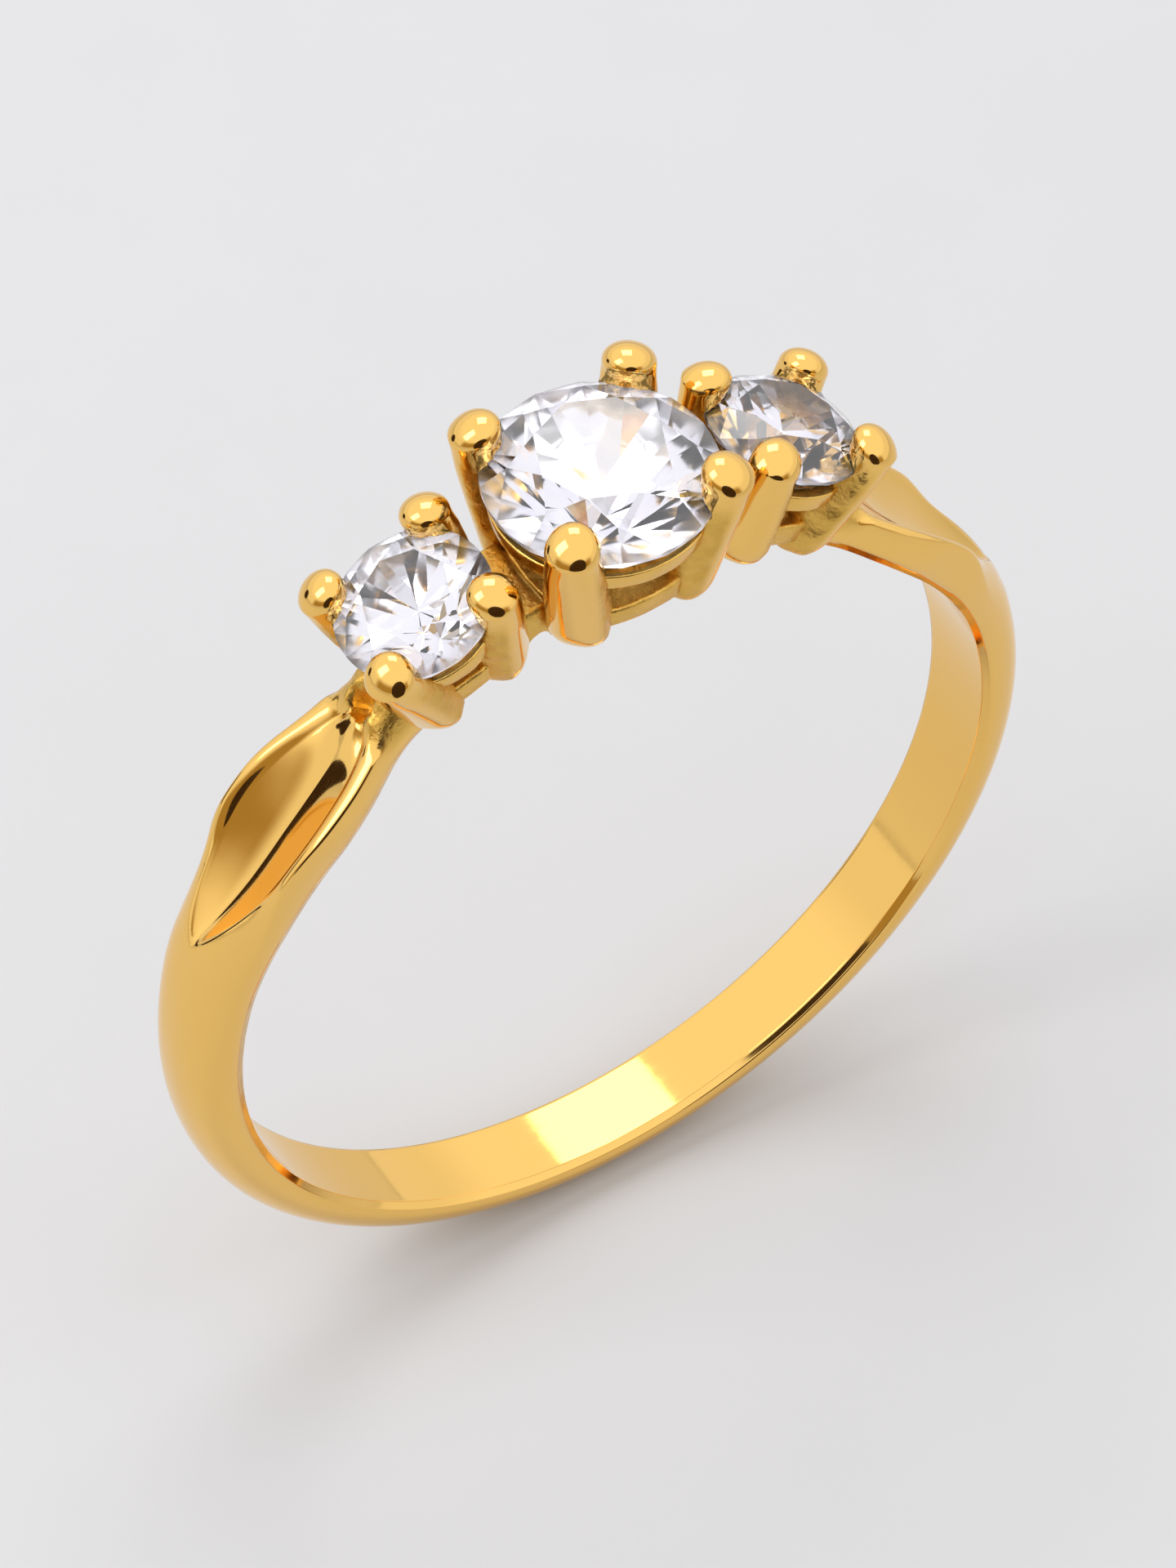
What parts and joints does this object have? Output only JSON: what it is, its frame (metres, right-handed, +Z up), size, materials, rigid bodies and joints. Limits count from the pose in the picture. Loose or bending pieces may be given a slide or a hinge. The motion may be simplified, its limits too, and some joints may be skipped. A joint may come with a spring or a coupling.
{
  "type": "engagement ring",
  "caption": "Yellow-gold finger ring with a polished D-section shank, leaf-shaped hollows in the shoulders, and brilliants held in a row of claw collets.",
  "frame": {"origin": "centre of the finger hole", "axes": "+Z up through the centre stone, +Y along the finger hole towards the back of the ring, +X towards the right side stone"},
  "size_m": [0.0192, 0.0044, 0.0218],
  "materials": {
    "gold": "polished yellow gold",
    "stone": "clear faceted gemstone"
  },
  "bodies": {
    "root": {"shank": "gold", "centre_stone": "stone", "left_stone": "stone", "right_stone": "stone", "centre_claw_front_left": "gold", "centre_claw_front_right": "gold", "centre_claw_back_left": "gold", "centre_claw_back_right": "gold", "left_claw_front_outer": "gold", "left_claw_front_inner": "gold", "left_claw_back_outer": "gold", "left_claw_back_inner": "gold", "right_claw_front_inner": "gold", "right_claw_front_outer": "gold", "right_claw_back_inner": "gold", "right_claw_back_outer": "gold", "centre_gallery_rail": "gold", "left_gallery_rail": "gold", "right_gallery_rail": "gold", "centre_base_rail": "gold", "left_base_rail": "gold", "right_base_rail": "gold", "left_bridge": "gold", "right_bridge": "gold"}
  },
  "joints": []
}
